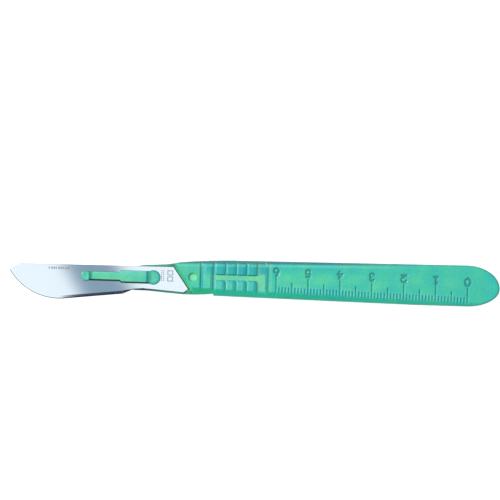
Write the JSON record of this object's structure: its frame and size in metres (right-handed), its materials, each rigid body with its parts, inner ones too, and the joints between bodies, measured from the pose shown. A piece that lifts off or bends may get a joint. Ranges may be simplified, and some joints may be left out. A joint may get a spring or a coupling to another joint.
{
  "type": "disposable scalpel",
  "caption": "Single-use scalpel: large curved steel blade staked to a slim translucent plastic handle with grip pads and an engraved centimetre ruler.",
  "frame": {"origin": "under the middle of the whole part's box, in the plane of the handle's flat back", "axes": "+X from the blade's point to the butt of the handle, +Y from the cutting edge towards the blade's spine, +Z out of the ruler face"},
  "size_m": [0.1538, 0.0142, 0.0042],
  "materials": {
    "handle_plastic": "translucent teal-green, moulded, satin gloss",
    "blade_steel": "finely ground stainless steel"
  },
  "bodies": {
    "root": {"handle": "handle_plastic", "blade": "blade_steel", "front_stake_head": "handle_plastic", "rear_stake_head": "handle_plastic"}
  },
  "joints": []
}
